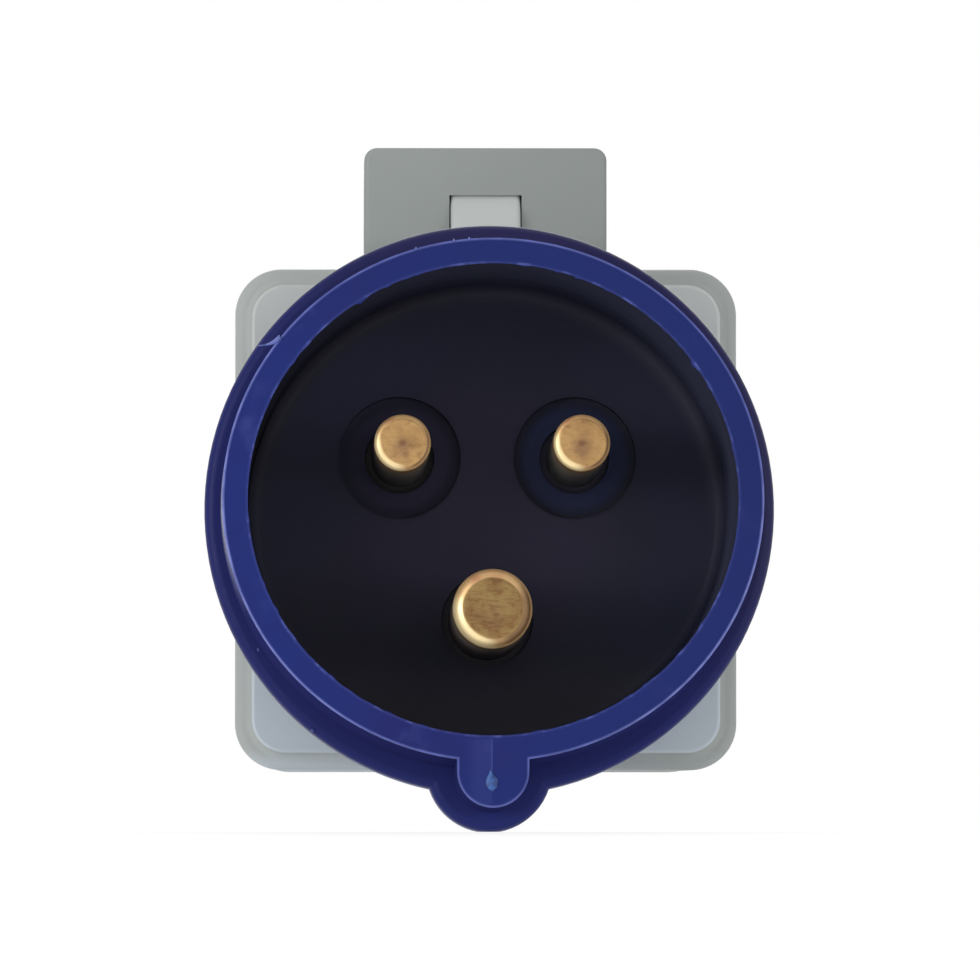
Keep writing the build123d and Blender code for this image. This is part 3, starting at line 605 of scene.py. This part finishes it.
@dataclass(frozen=True)
class GreyMoulding:
    """Grey moulded plastic with a fine spark-eroded grain and faint rubbed specks; painted light on the
    front field, along the bottom and above a given height, and painted shade towards the right.
    """

    name: str
    grey: Colour
    shade: Colour
    grain_mm: float = 0.016
    roughness: float = 0.50
    # Painted light above this height
    lit_grey_above: float = 1000.0
    # Painted light on the front field and along the bottom, bluer towards the bottom
    lit_grey: Colour = (0.500, 0.526, 0.516)
    cool_lit_grey: Colour = (0.500, 0.560, 0.600)
    rubbed: Colour = (0.20, 0.21, 0.20)
    field_front: float = 0.0
    # How dim the painted shade on the right is
    fade: float = 0.86

    def material(self) -> bpy.types.Material:
        """Builds the material."""
        g = Graph(self.name, IOR=1.47)
        patches = g.noise(48.0, 3.0)
        grain = g.noise(1700.0, 2.0)
        flow = g.noise(1.0, 3.0, g.stretched((30.0, 240.0, 30.0)))
        colour = g.mix((patches.rise(0.3, 0.75) * 0.6 + flow * 0.25).held(), self.grey, self.shade)
        colour = g.mix((g.noise(620.0, 4.0).rise(0.66, 0.8) * 0.10).held(), colour, self.rubbed)
        # Painted light on the front field and along the bottom, bluer towards the bottom
        field = 1 - g.y.rise(self.field_front, self.field_front + 0.6)
        low = 1 - g.z.rise(-22.6, -20.6)
        lit_grey = g.mix(1 - g.z.rise(-16.0, 12.0), self.lit_grey, self.cool_lit_grey)
        colour = g.mix((field + low * 0.8).held(), colour, lit_grey)
        # Painted shade towards the right, off the front field
        right_shade = tuple(part * self.fade for part in self.shade)
        colour = g.mix((g.x.rise(-14.0, 20.0) * (1 - field) * 0.8).held(), colour, right_shade)
        # Painted light above a given height, on the hinge lug
        above = tuple(part * 0.95 for part in self.lit_grey)
        colour = g.mix(g.z.rise(self.lit_grey_above, self.lit_grey_above + 0.4), colour, above)
        rough = self.roughness + grain * 0.10 + patches * 0.05
        return g.done(Base_Color=colour, Roughness=rough, Normal=g.bump(grain, self.grain_mm))


@dataclass(frozen=True)
class SealRubber:
    """Soft black rubber with a dusty bloom."""

    black: Colour = (0.014, 0.014, 0.015)
    dust: Colour = (0.040, 0.040, 0.042)

    def material(self) -> bpy.types.Material:
        """Builds the material."""
        g = Graph("seal_rubber", IOR=1.5, Specular_IOR_Level=0.3)
        bloom = g.noise(300.0, 4.0).rise(0.45, 0.75)
        colour = g.mix(bloom * 0.5, self.black, self.dust)
        rough = 0.72 + bloom * 0.15
        return g.done(Base_Color=colour, Roughness=rough, Normal=g.bump(g.noise(1400.0, 3.0), 0.02))


@dataclass(frozen=True)
class DrawnMetal:
    """Plated or drawn metal with fine marks along one way and faint tarnish."""

    name: str
    bright: Colour
    tarnish: Colour
    marks: tuple[float, float, float] = (2400.0, 220.0, 2400.0)
    roughness: float = 0.30

    def material(self) -> bpy.types.Material:
        """Builds the material."""
        g = Graph(self.name, Metallic=1.0)
        lines = g.noise(1.0, 4.0, g.stretched(self.marks))
        cloud = g.noise(240.0, 4.0)
        colour = g.mix((cloud.rise(0.4, 0.8) * 0.6).held(), self.bright, self.tarnish)
        rough = self.roughness + lines * 0.14 + cloud * 0.05
        return g.done(Base_Color=colour, Roughness=rough, Normal=g.bump(lines, 0.010))


# Modelling

class Stage(Enum):
    """What part of a mesh an edit works on."""

    ALL = "all"
    NONE = "none"


def start_piece(name: str) -> bpy.types.Object:
    """Names the primitive that was just added.

    Args:
        name: The piece's name.

    Returns:
        The piece.
    """
    piece = bpy.context.object
    piece.name = name
    piece.data.name = name
    return piece


def start_rings(name: str, points: int, half: tuple[float, float], rings: int) -> bpy.types.Object:
    """Starts a piece from nested rings of points, which its own code then puts in place.

    Args:
        name: The piece's name.
        points: Points on each ring.
        half: The outer ring's half width and half height.
        rings: Rings inside the outer one.

    Returns:
        The piece.
    """
    clear_selection()
    bpy.ops.mesh.primitive_circle_add(vertices=points, radius=1.0, rotation=(pi / 2, 0, 0))
    piece = start_piece(name)
    bpy.ops.object.transform_apply(location=False, rotation=True, scale=False)
    edit()
    bpy.ops.transform.resize(value=(half[0], 1.0, half[1]))
    for _ in range(rings):
        bpy.ops.mesh.extrude_region_move(TRANSFORM_OT_translate={"value": (0, 0, 0)})
        bpy.ops.transform.resize(value=(0.99, 1.0, 0.99))
    bpy.ops.object.mode_set(mode="OBJECT")
    return piece


def clear_selection() -> None:
    """Deselects every object, so that an operator works only on what comes next."""
    if bpy.context.object and bpy.context.object.mode != "OBJECT":
        bpy.ops.object.mode_set(mode="OBJECT")
    bpy.ops.object.select_all(action="DESELECT")


def edit(select: Stage = Stage.ALL) -> None:
    """Goes into edit mode.

    Args:
        select: What is selected there.
    """
    bpy.ops.object.mode_set(mode="EDIT")
    bpy.ops.mesh.select_all(action="SELECT" if select is Stage.ALL else "DESELECT")


def finish_piece(piece: bpy.types.Object, material: bpy.types.Material, body: str,
                 smooth: float) -> None:
    """Puts a piece's place into its mesh, dresses it and hangs it on its body.

    Args:
        piece: The piece.
        material: Its material.
        body: The body that it moves with.
        smooth: Edges flatter than this are smoothed, in degrees.
    """
    bpy.ops.object.mode_set(mode="OBJECT")
    for modifier in list(piece.modifiers):
        bpy.ops.object.modifier_apply(modifier=modifier.name)
    bpy.ops.object.transform_apply(location=True, rotation=True, scale=True)
    edit()
    bpy.ops.mesh.remove_doubles(threshold=1e-7)
    bpy.ops.mesh.normals_make_consistent(inside=False)
    bpy.ops.object.mode_set(mode="OBJECT")
    bpy.ops.object.shade_smooth_by_angle(angle=radians(smooth))
    piece.data.materials.clear()
    piece.data.materials.append(material)
    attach(piece, body)
    log.info("%s: %d faces on %s", piece.name, len(piece.data.polygons), body)


def dress(nodes: tuple[str, ...], material: bpy.types.Material) -> None:
    """Gives CAD nodes a material.

    Args:
        nodes: The nodes' names.
        material: The material.
    """
    for name in nodes:
        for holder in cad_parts[name].material_slots:
            holder.material = material
        log.info("%s: %s", name, material.name)


# Sub-assemblies

@dataclass
class PlugFront:
    """The plug: blue shroud with its moulding marks, dark pin carrier and three brass pins."""

    flash_points: int = 720
    flash_depth: float = 0.09
    flash_front: float = 0.03
    fillet_points: int = 144
    fillet_steps: int = 8
    fillet_r: float = 1.3
    sunk: float = 0.04
    gate_place: tuple[float, float] = (-0.17, -24.55)
    gate_r: float = 0.5
    whisker_root: tuple[float, float] = (-18.62, 14.10)
    whisker_tip: tuple[float, float] = (-20.60, 13.45)
    specks: tuple[tuple[float, float, float], ...] = (
        (-20.55, -12.45, 0.15), (-15.75, -19.65, 0.12), (-6.75, 21.93, 0.12),
        (-3.43, 22.68, 0.10), (-2.1, 22.83, 0.09),
    )

    def build(self) -> None:
        """Dresses the plug's nodes and adds its moulding marks."""
        self.plastic = ShroudPlastic().material()
        dress(("plug_shroud",), self.plastic)
        self.carrier = CarrierPlastic().material()
        dress(("pin_carrier",), self.carrier)
        # Each pin has its own painted shade at the root, and the earth pin its own painted shade down the
        # shank
        line = TurnedBrass("turned_brass_line", (-THIN_PIN_X, THIN_PIN_Z), **THIN_PIN,
                           stain=0.5, root_shade=(0.007, 0.007, 0.010))
        neutral = TurnedBrass("turned_brass_neutral", (THIN_PIN_X, THIN_PIN_Z), **THIN_PIN,
                              root_shade=(0.016, 0.018, 0.046))
        earth = TurnedBrass("turned_brass_earth", (0.0, EARTH_PIN_Z), **EARTH_PIN,
                            stain=0.75, scratches=0.6, blot=0.3,
                            brass=(0.405, 0.275, 0.112), deep_shade=(0.150, 0.130, 0.120))
        for node, brass in (("line_pin", line), ("neutral_pin", neutral), ("earth_pin", earth)):
            dress((node,), brass.material())
        self.mouth_flash()
        self.floor_fillet()
        self.gate_mark()
        self.edge_whisker()
        self.collar_specks()

    def ragged(self, chance: random.Random) -> list[float]:
        """How far the flash stands into the mouth at each point round it, in millimetres.

        Args:
            chance: The seeded source of numbers.

        Returns:
            One width for each point.
        """
        waves = [(chance.randint(11, 220), chance.uniform(0, 2 * pi), chance.uniform(0.2, 1.0))
                 for _ in range(18)]
        widths = []
        for number in range(self.flash_points):
            turn = 2 * pi * number / self.flash_points
            wave = sum(size * sin(count * turn + phase) for count, phase, size in waves) / 9
            widths.append(0.03 + 0.045 * abs(wave) + chance.uniform(0.0, 0.02))
        for _ in range(46):
            middle = chance.randrange(self.flash_points)
            half, size = chance.randint(1, 3), chance.uniform(0.04, 0.12)
            for step in range(-half, half + 1):
                widths[(middle + step) % self.flash_points] += size * (1 - abs(step) / (half + 1))
        return widths

    def mouth_flash(self) -> None:
        """The thin ragged flash round the mouth's inner edge."""
        piece = start_rings("mouth_flash", self.flash_points, (BORE_A * MM, BORE_B * MM), 1)
        widths = self.ragged(random.Random(7))
        for vertex in piece.data.vertices:
            x, z = vertex.co.x / MM, vertex.co.z / MM
            share = hypot(x / BORE_A, z / BORE_B)
            width = widths[vertex.index % self.flash_points]
            inner = share < 0.999
            inward = width if inner else -0.05
            vertex.co.x *= (1 - inward / BORE_A) / share
            vertex.co.z *= (1 - inward / BORE_B) / share
            vertex.co.y = (self.flash_front + (0.25 * width if inner else 0.0)) * MM
        thick = piece.modifiers.new("thickness", "SOLIDIFY")
        thick.thickness = self.flash_depth * MM
        thick.offset = 0.0
        finish_piece(piece, self.plastic, "adapter", smooth=50.0)

    def floor_fillet(self) -> None:
        """The soft concave run between the mouth's wall and its floor."""
        piece = start_rings("floor_fillet", self.fillet_points, (1.0, 1.0), self.fillet_steps + 1)
        profile = [(-self.sunk, self.sunk)]
        for step in range(self.fillet_steps + 1):
            turn = pi / 2 * step / self.fillet_steps
            profile.append((self.fillet_r * (1 - cos(turn)) - self.sunk,
                            self.fillet_r * (sin(turn) - 1) + self.sunk))
        for vertex in piece.data.vertices:
            row = vertex.index // self.fillet_points
            inward, back = profile[row]
            turn = 2 * pi * (vertex.index % self.fillet_points) / self.fillet_points
            vertex.co.x = (BORE_A - inward) * cos(turn) * MM
            vertex.co.z = (BORE_B - inward) * sin(turn) * MM
            vertex.co.y = (CARRIER_FACE + back) * MM
        edit(Stage.NONE)
        bpy.ops.mesh.select_non_manifold()
        bpy.ops.mesh.bridge_edge_loops()
        finish_piece(piece, self.carrier, "adapter", smooth=60.0)

    def gate_mark(self) -> None:
        """The small torn gate on the end of the key nose."""
        clear_selection()
        x, z = self.gate_place
        bpy.ops.mesh.primitive_uv_sphere_add(segments=28, ring_count=16, radius=self.gate_r * MM,
                                             location=(x * MM, 0, z * MM))
        piece = start_piece("gate_mark")
        bpy.ops.object.transform_apply(location=True, rotation=True, scale=True)
        chance = random.Random(3)
        waves = [(chance.randint(2, 6), chance.uniform(0, 2 * pi)) for _ in range(5)]
        for vertex in piece.data.vertices:
            dx, dz = vertex.co.x / MM - x, vertex.co.z / MM - z
            rough = 1 + 0.09 * sum(sin(count * (dx * 3 + dz * 5) + phase) for count, phase in waves) / 2
            narrow = 1.05 - 0.75 * max(0.0, dz / self.gate_r)
            lean = 0.10 - 0.35 * dz
            vertex.co.x = (x + dx * 1.05 * narrow * rough + lean * 0.3) * MM
            vertex.co.z = (z + dz * 1.85 * rough) * MM
            vertex.co.y = vertex.co.y * 0.34 * rough - 0.02 * MM
        finish_piece(piece, self.torn_plastic(), "adapter", smooth=60.0)

    def torn_plastic(self) -> bpy.types.Material:
        """Paler stress-whitened blue, for torn plastic."""
        g = Graph("torn_blue_plastic", IOR=1.48)
        cloud = g.noise(1900.0, 3.0)
        colour = g.mix(cloud.rise(0.35, 0.65), (0.012, 0.038, 0.160), (0.036, 0.110, 0.350))
        return g.done(Base_Color=colour, Roughness=0.32 + cloud * 0.2, Normal=g.bump(cloud, 0.04))

    def edge_whisker(self) -> None:
        """The whisker of flash that stands out from the rim's outer edge."""
        clear_selection()
        bpy.ops.mesh.primitive_cone_add(vertices=10, radius1=0.21 * MM, radius2=0.05 * MM,
                                        depth=1.0 * MM)
        piece = start_piece("edge_whisker")
        edit()
        bpy.ops.mesh.subdivide(number_cuts=6)
        bpy.ops.object.mode_set(mode="OBJECT")
        (x0, z0), (x1, z1) = self.whisker_root, self.whisker_tip
        run = Vector((x1 - x0, 0.9, z1 - z0))
        side = Vector((-run.z, 0, run.x)).normalized()
        for vertex in piece.data.vertices:
            share = vertex.co.z / MM + 0.5
            width, deep = vertex.co.x / MM, vertex.co.y / MM
            bend = 0.18 * sin(pi * share)
            point = Vector((x0, 0.10, z0)) + run * share + side * (width * (1.5 - share) + bend)
            point.y += deep
            vertex.co = point * MM
        finish_piece(piece, self.pale_edge(), "adapter", smooth=60.0)

    def pale_edge(self) -> bpy.types.Material:
        """Pale thin plastic, for whiskers and specks."""
        g = Graph("pale_blue_edge", IOR=1.48)
        cloud = g.noise(1500.0, 3.0)
        colour = g.mix(cloud.rise(0.40, 0.68), (0.030, 0.050, 0.220), (0.150, 0.190, 0.520))
        return g.done(Base_Color=colour, Roughness=0.30 + cloud * 0.15, Normal=g.bump(cloud, 0.02))

    def collar_specks(self) -> None:
        """Tiny raised specks on the collar's front and the rim: one modelled, the others copied."""
        material = self.pale_edge()
        first = None
        for number, (x, z, size) in enumerate(self.specks):
            clear_selection()
            if first is None:
                bpy.ops.mesh.primitive_ico_sphere_add(subdivisions=2, radius=1.0 * MM)
                speck = start_piece(f"collar_speck_{number}")
                for vertex in speck.data.vertices:
                    vertex.co *= 1 + 0.25 * sin(vertex.co.x / MM * 5 + vertex.co.z / MM * 3)
                first = speck.data.copy()
            else:
                speck = bpy.data.objects.new(f"collar_speck_{number}", first.copy())
                bpy.context.collection.objects.link(speck)
                speck.select_set(True)
                bpy.context.view_layer.objects.active = speck
            on_rim = z > 0
            speck.scale = (size, size * 0.6, size * 1.3)
            speck.location = (x * MM, (0.08 if on_rim else COLLAR_FACE) * MM, z * MM)
            finish_piece(speck, material, "adapter", smooth=60.0)


@dataclass
class GreyHousing:
    """The square housing with its seals, straps, nuts and screws."""

    # The housing is painted lighter above this height, on its hinge lug
    lit_lug_above: float = 23.2
    field_front: float = 42.6

    def build(self) -> None:
        """Dresses the housing and what it holds."""
        grey = GreyMoulding("housing_grey", grey=(0.398, 0.422, 0.411), shade=(0.372, 0.398, 0.386),
                            lit_grey_above=self.lit_lug_above, field_front=self.field_front)
        steel = DrawnMetal("plated_steel", bright=(0.58, 0.59, 0.60), tarnish=(0.42, 0.42, 0.42))
        strip = DrawnMetal("strip_brass", bright=(0.80, 0.56, 0.26), tarnish=(0.50, 0.31, 0.14),
                           marks=(300.0, 2600.0, 2600.0))
        dress(("housing_shell",), grey.material())
        dress(("plug_gasket", "rear_gasket", "lid_gasket"), SealRubber().material())
        dress(("pin_nuts", "plug_screws", "face_screws", "cover_screw", "hinge_pin"), steel.material())
        dress(("line_link", "neutral_link", "earth_link", "earth_bracket", "sleeve_line", "sleeve_neutral"),
              strip.material())


@dataclass
class SocketAndLid:
    """The socket insert, its clamp springs, and the spring lid."""

    def build(self) -> None:
        """Dresses the insert, the springs and the lid."""
        insert = GreyMoulding("insert_grey", grey=(0.300, 0.322, 0.318), shade=(0.270, 0.292, 0.288),
                              grain_mm=0.010, roughness=0.42)
        lid = GreyMoulding("lid_grey", grey=(0.300, 0.324, 0.316), shade=(0.268, 0.292, 0.284))
        wire = DrawnMetal("spring_wire", bright=(0.50, 0.51, 0.52), tarnish=(0.30, 0.30, 0.31),
                          marks=(900.0, 900.0, 900.0), roughness=0.22)
        dress(("socket_body", "contact_cover"), insert.material())
        dress(("sleeve_springs", "lid_spring"), wire.material())
        dress(("lid",), lid.material())


# Studio

@dataclass
class Lamp:
    """One soft box."""

    name: str
    place: tuple[float, float, float]
    size: tuple[float, float]
    power: float
    mirrored: bool = True
    aim: tuple[float, float, float] = (0.0, 0.03, 0.0)

    def build(self) -> None:
        """Adds the lamp, turned to its aim and unseen by the camera."""
        data = bpy.data.lights.new(self.name, "AREA")
        data.shape = "RECTANGLE"
        data.size, data.size_y = self.size
        data.energy = self.power
        lamp = bpy.data.objects.new(self.name, data)
        bpy.context.collection.objects.link(lamp)
        lamp.location = self.place
        lamp.rotation_mode = "QUATERNION"
        lamp.rotation_quaternion = (Vector(self.aim) - Vector(self.place)).to_track_quat("-Z", "Y")
        lamp.visible_camera = False
        lamp.visible_glossy = self.mirrored


@dataclass
class Studio:
    """White sweep, pale surroundings, soft boxes and the camera."""

    azimuth: float = -0.89
    elevation: float = -2.41
    distance: float = 1.150
    lens: float = 483.5
    shift: tuple[float, float] = (-0.0034, 0.0093)
    floor_slope: float = 1.6
    floor_front: float = 1.7
    floor_back: float = 1.6
    floor_half: float = 1.8
    crest: float = 0.0225
    floor_glow: float = 1.16
    floor_seen_white: float = 0.75
    floor_white: float = 0.35
    ambient: float = 0.40
    behind_camera: float = 0.30

    def build(self) -> None:
        """Adds everything round the object."""
        self.camera()
        self.floor()
        self.world()
        lamps = (
            Lamp("key_left", (-0.85, -0.95, 0.30), (0.9, 0.9), 4.8),
            Lamp("fill_right", (0.95, -0.75, 0.15), (0.8, 0.8), 2.8),
            Lamp("front", (0.20, -1.50, 0.10), (0.9, 0.7), 4.4, mirrored=False),
            Lamp("top", (0.0, 0.05, 1.10), (1.0, 0.8), 1.6),
            Lamp("low_left", (-0.42, -0.42, 0.01), (0.30, 0.10), 0.7),
            Lamp("low_right", (0.42, -0.50, 0.0), (0.30, 0.10), 0.4, mirrored=False),
            Lamp("back", (0.1, 1.1, 0.6), (0.9, 0.7), 4.0),
        )
        for lamp in lamps:
            lamp.build()

    def camera(self) -> None:
        """The photograph's camera: far, slightly left and slightly low."""
        turn, rise = radians(self.azimuth), radians(self.elevation)
        back = Vector((sin(turn) * cos(rise), -cos(turn) * cos(rise), sin(rise)))
        data = bpy.data.cameras.new("camera")
        data.lens = self.lens
        data.sensor_width = 36.0
        data.shift_x, data.shift_y = self.shift
        data.clip_start, data.clip_end = 0.01, 20.0
        seen_from = bpy.data.objects.new("camera", data)
        bpy.context.collection.objects.link(seen_from)
        seen_from.location = back * self.distance
        seen_from.rotation_mode = "QUATERNION"
        seen_from.rotation_quaternion = (-back).to_track_quat("-Z", "Y")
        bpy.context.scene.camera = seen_from

    def floor(self) -> None:
        """A white sweep that falls away gently in front, because the camera stands low."""
        level = CAD_BOX[0].z
        clear_selection()
        bpy.ops.mesh.primitive_plane_add(size=2.0, location=(0, self.crest + self.floor_back, level))
        piece = start_piece("white_floor")
        piece.scale = (self.floor_half, self.floor_back, 1.0)
        bpy.ops.object.transform_apply(location=True, rotation=True, scale=True)
        edit(Stage.NONE)
        bpy.ops.object.mode_set(mode="OBJECT")
        bpy.context.tool_settings.mesh_select_mode = (False, True, False)
        corners = piece.data.vertices
        for edge in piece.data.edges:
            edge.select = all(corners[number].co.y < self.crest + 1e-4 for number in edge.vertices)
        bpy.ops.object.mode_set(mode="EDIT")
        fall = self.floor_front * tan(radians(self.floor_slope))
        bpy.ops.mesh.extrude_region_move(TRANSFORM_OT_translate={"value": (0, -self.floor_front, -fall)})
        bpy.ops.mesh.select_all(action="SELECT")
        bpy.ops.mesh.normals_make_consistent(inside=False)
        bpy.ops.object.mode_set(mode="OBJECT")
        if sum(face.normal.z for face in piece.data.polygons) < 0:
            edit()
            bpy.ops.mesh.flip_normals()
            bpy.ops.object.mode_set(mode="OBJECT")
        piece.data.materials.append(self.floor_material())

    def floor_material(self) -> bpy.types.Material:
        """White for the camera, with the object's shadow still faintly on it."""
        g = Graph("white_floor", Base_Color=(0.86, 0.86, 0.86), Roughness=0.9, Specular_IOR_Level=0.0)
        path = g.node("ShaderNodeLightPath", {}, {})
        seen = Value(g, path.outputs["Is Camera Ray"]).most(Value(g, path.outputs["Is Glossy Ray"]))
        seen = seen.most(Value(g, path.outputs["Is Transmission Ray"]))
        white = g.node("ShaderNodeEmission", {}, {"Color": (1.0, 1.0, 1.0), "Strength": self.floor_glow})
        g.fade_into((seen * self.floor_seen_white).most(self.floor_white), white)
        return g.material

    def world(self) -> None:
        """Pale surroundings: white behind the object, dimmer behind the camera."""
        world = bpy.data.worlds.new("studio")
        bpy.context.scene.world = world
        world.use_nodes = True
        tree = world.node_tree
        tree.nodes.clear()
        path = tree.nodes.new("ShaderNodeLightPath")
        where = tree.nodes.new("ShaderNodeTexCoord")
        split = tree.nodes.new("ShaderNodeSeparateXYZ")
        tree.links.new(where.outputs["Generated"], split.inputs[0])
        depth = tree.nodes.new("ShaderNodeMapRange")
        depth.interpolation_type = "SMOOTHSTEP"
        ramp = {"From Min": -0.5, "From Max": 0.5, "To Min": self.behind_camera, "To Max": 1.0}
        for socket, value in ramp.items():
            depth.inputs[socket].default_value = value
        tree.links.new(split.outputs["Y"], depth.inputs["Value"])
        strength = depth.outputs[0]
        levels = {"Is Diffuse Ray": self.ambient, "Is Camera Ray": 1.0, "Is Transmission Ray": 1.0}
        for ray, level in levels.items():
            pick = tree.nodes.new("ShaderNodeMix")
            tree.links.new(path.outputs[ray], pick.inputs[0])
            tree.links.new(strength, pick.inputs[2])
            pick.inputs[3].default_value = level
            strength = pick.outputs[0]
        background = tree.nodes.new("ShaderNodeBackground")
        background.inputs["Color"].default_value = (1.0, 1.0, 1.0, 1.0)
        tree.links.new(strength, background.inputs["Strength"])
        output = tree.nodes.new("ShaderNodeOutputWorld")
        tree.links.new(background.outputs[0], output.inputs["Surface"])


def main() -> None:
    """Sets the Standard view transform and builds the sub-assemblies and the studio."""
    logging.basicConfig(level=logging.INFO, format="%(message)s")
    bpy.context.scene.view_settings.view_transform = "Standard"
    for assembly in (Studio(), PlugFront(), GreyHousing(), SocketAndLid()):
        assembly.build()
        log.info("built %s", type(assembly).__name__)


if __name__ == "__main__":
    main()
